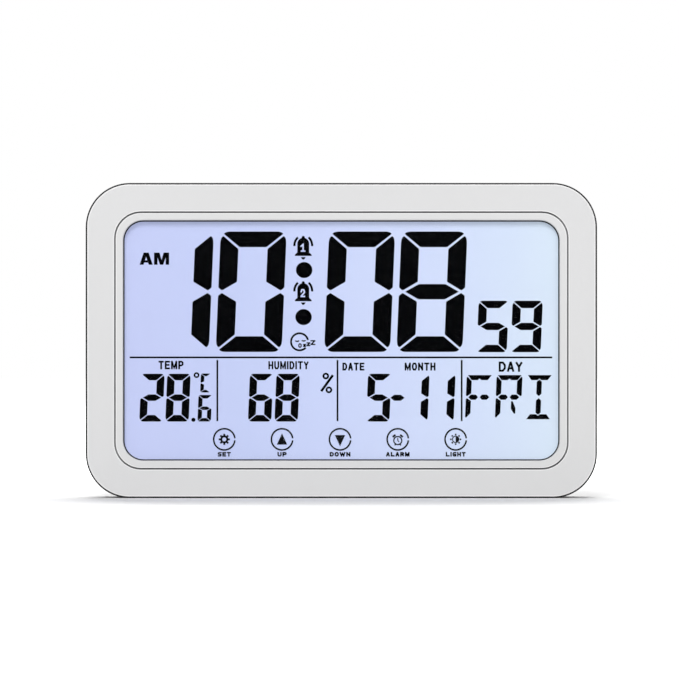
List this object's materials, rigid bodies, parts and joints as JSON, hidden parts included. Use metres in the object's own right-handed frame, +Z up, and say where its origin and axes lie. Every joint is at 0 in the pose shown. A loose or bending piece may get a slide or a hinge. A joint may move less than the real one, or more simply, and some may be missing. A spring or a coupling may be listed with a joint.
{
  "type": "digital alarm clock",
  "caption": "Low rectangular digital alarm clock with rounded corners, a pale case, a large backlit display with touch keys, a fold-out stand leg and a hooked battery door.",
  "frame": {"origin": "middle of the case's footprint on the surface it stands on", "axes": "+X to the viewer's right, display facing -Y, +Z up"},
  "size_m": [0.165, 0.025, 0.1017],
  "materials": {
    "frame_plastic": "fine satin moulded surface",
    "cover_plastic": "fine satin moulded surface",
    "lens_acrylic": "polished clear acrylic",
    "tape_black": "matt adhesive foam",
    "film_clear": "clear film",
    "display_glass": "polished glass",
    "polariser": "smooth grey blue film",
    "diffuser_white": "matt white sheet",
    "guide_clear": "polished clear acrylic",
    "reflector_white": "bright white sheet",
    "holder_white": "plain moulded surface",
    "board_green": "solder mask",
    "lamp_yellow": "resin over the lamp",
    "resin_black": "glossy resin",
    "chip_black": "moulded chip body",
    "can_metal": "drawn metal can",
    "connector_cream": "plain moulded surface",
    "strip_rubber": "silicone with carbon layers",
    "screw_steel": "zinc plated",
    "contact_nickel": "nickel plated",
    "wire_red": "wire sleeve",
    "wire_black": "wire sleeve",
    "cell_wrap": "plain printed sleeve"
  },
  "bodies": {
    "case": {"front_frame": "frame_plastic", "rear_cover": "cover_plastic", "case_screws": "screw_steel", "window_lens": "lens_acrylic", "lens_tape": "tape_black", "touch_film": "film_clear", "lcd_front_polariser": "polariser", "lcd_front_glass": "display_glass", "lcd_rear_glass": "display_glass", "lcd_rear_polariser": "polariser", "diffuser_sheet": "diffuser_white", "light_guide": "guide_clear", "reflector_sheet": "reflector_white", "backlight_board": "board_green", "backlight_leds": "lamp_yellow", "display_holder": "holder_white", "holder_screws": "screw_steel", "zebra_strip": "strip_rubber", "main_board": "board_green", "board_screws": "screw_steel", "controller_blob": "resin_black", "touch_chip": "chip_black", "crystal": "can_metal", "capacitor": "can_metal", "buzzer": "chip_black", "climate_sensor": "connector_cream", "touch_connector": "connector_cream", "battery_cell_1": "cell_wrap", "battery_cell_2": "cell_wrap", "battery_cell_3": "cell_wrap", "positive_contact": "contact_nickel", "negative_contact": "contact_nickel", "bridge_left": "contact_nickel", "bridge_right": "contact_nickel", "battery_springs": "contact_nickel", "positive_lead": "wire_red", "negative_lead": "wire_black"},
    "leg": {"stand_leg": "cover_plastic", "stand_pin": "screw_steel"},
    "door": {"battery_door": "cover_plastic"}
  },
  "joints": [
    {"name": "stand_fold", "type": "hinge", "parent": "case", "child": "leg", "pos_m": [0, 0.01025, 0.055], "axis": [1, 0, 0], "range_deg": [0, 35]},
    {"name": "battery_door_swing", "type": "hinge", "parent": "case", "child": "door", "pos_m": [0.04578, 0.01245, 0.0334], "axis": [-1, 0, 0], "range_deg": [0, 75]}
  ]
}
